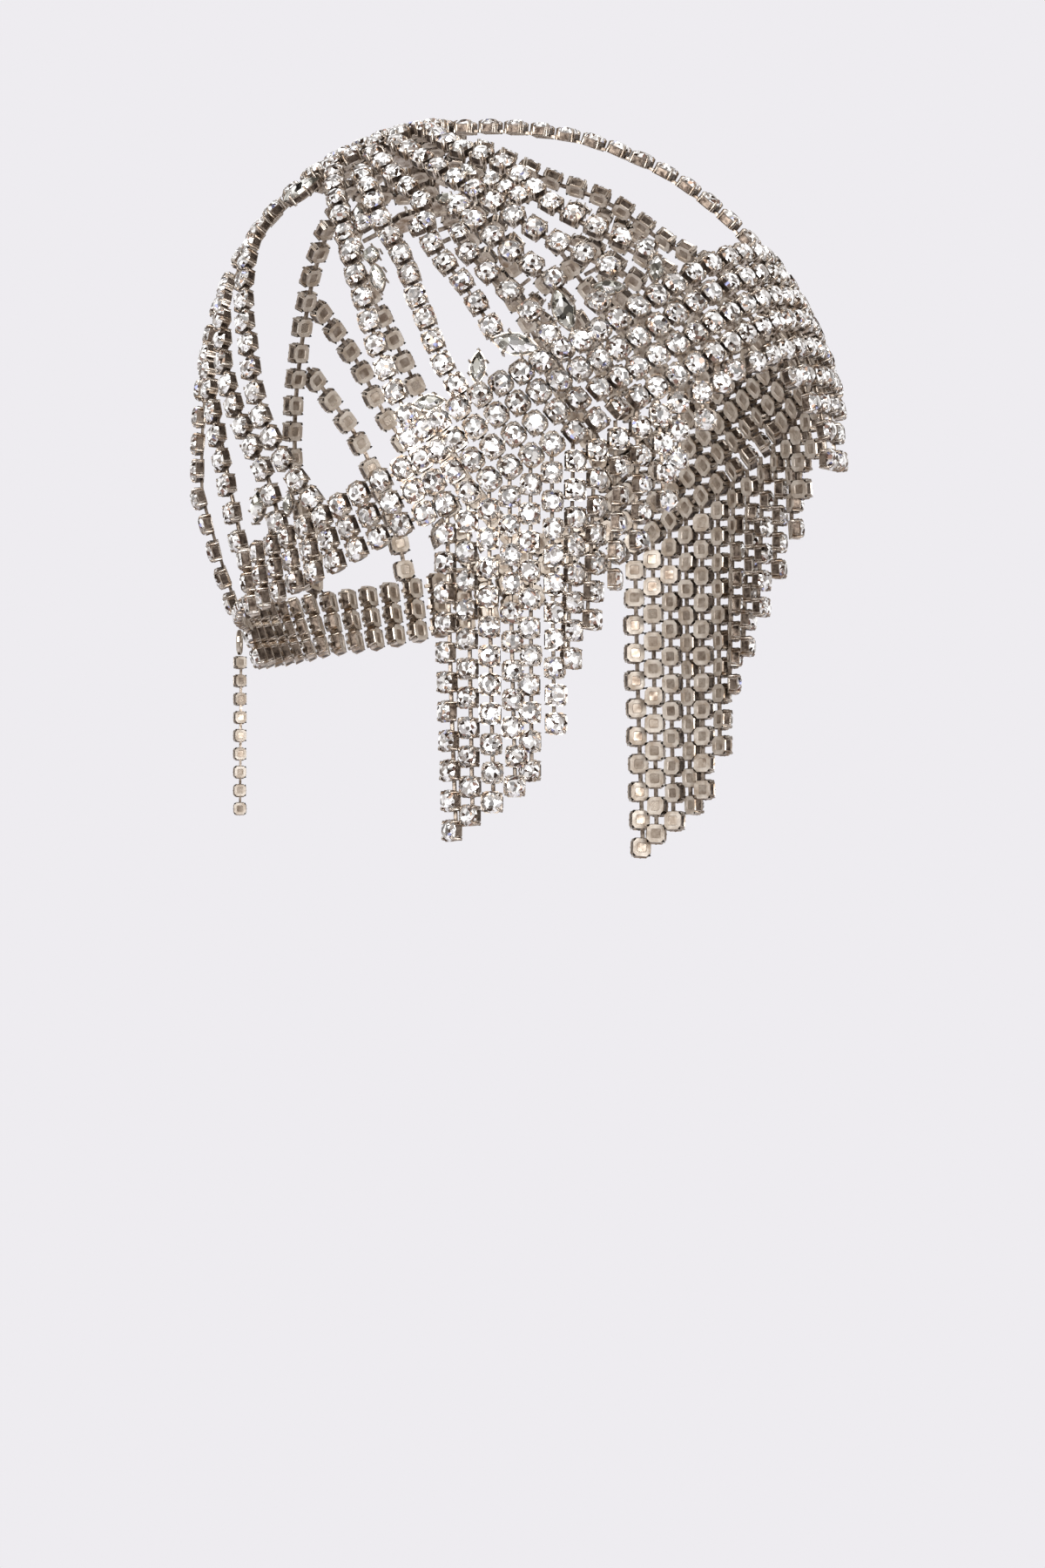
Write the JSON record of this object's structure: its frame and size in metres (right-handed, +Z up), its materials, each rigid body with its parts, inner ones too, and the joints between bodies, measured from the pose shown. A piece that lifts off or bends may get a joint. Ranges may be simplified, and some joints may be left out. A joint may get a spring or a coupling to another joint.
{
  "type": "rhinestone headpiece",
  "caption": "Cap of stone-set cup chain for the head: a domed web of strands from a crown rosette to a wide band, with fringe at the sides of the face and a nape closure chain.",
  "frame": {"origin": "middle of the head at its widest level, where the piece is held by the head inside it", "axes": "+Z up, the wearer looks along -Y, the wearer's right is -X"},
  "size_m": [0.1586, 0.1922, 0.217],
  "materials": {
    "set_stones": "clear foiled stones in polished silver-coloured cups",
    "silver_metal": "polished, slightly warm",
    "crystal": "clear foiled stone, polished"
  },
  "bodies": {
    "root": {"back_1_left": "set_stones", "back_1_right": "set_stones", "back_2_left": "set_stones", "back_2_right": "set_stones", "back_3_left": "set_stones", "back_3_right": "set_stones", "back_4_left": "set_stones", "back_4_right": "set_stones", "band_left": "set_stones", "band_right": "set_stones", "clasp_ring": "silver_metal", "closure_chain": "set_stones", "cross_stone_left": "crystal", "cross_stone_right": "crystal", "crown_centre_stone": "crystal", "crown_rosette": "set_stones", "extender_tail": "set_stones", "fan_a_left": "set_stones", "fan_a_right": "set_stones", "fan_b_left": "set_stones", "fan_b_right": "set_stones", "fan_c_left": "set_stones", "fan_c_right": "set_stones", "fan_c_second_left": "set_stones", "fan_c_second_right": "set_stones", "fan_c_third_left": "set_stones", "fan_c_third_right": "set_stones", "fan_d_left": "set_stones", "fan_d_right": "set_stones", "fan_e_left": "set_stones", "fan_e_right": "set_stones", "front_centre_chain": "set_stones", "navette_ab_lower_left": "crystal", "navette_ab_lower_right": "crystal", "navette_ab_upper_left": "crystal", "navette_ab_upper_right": "crystal", "navette_back_1_left": "crystal", "navette_back_1_right": "crystal", "navette_back_2_left": "crystal", "navette_back_2_right": "crystal", "navette_back_3_left": "crystal", "navette_back_3_right": "crystal", "navette_c_left": "crystal", "navette_c_right": "crystal", "navette_de_left": "crystal", "navette_de_right": "crystal", "navette_field_1_left": "crystal", "navette_field_1_right": "crystal", "navette_field_2_left": "crystal", "navette_field_2_right": "crystal", "navette_field_3_left": "crystal", "navette_field_3_right": "crystal", "navette_field_4_left": "crystal", "navette_field_4_right": "crystal", "navette_field_5_left": "crystal", "navette_field_5_right": "crystal", "navette_field_6_left": "crystal", "navette_field_6_right": "crystal"}
  },
  "joints": []
}
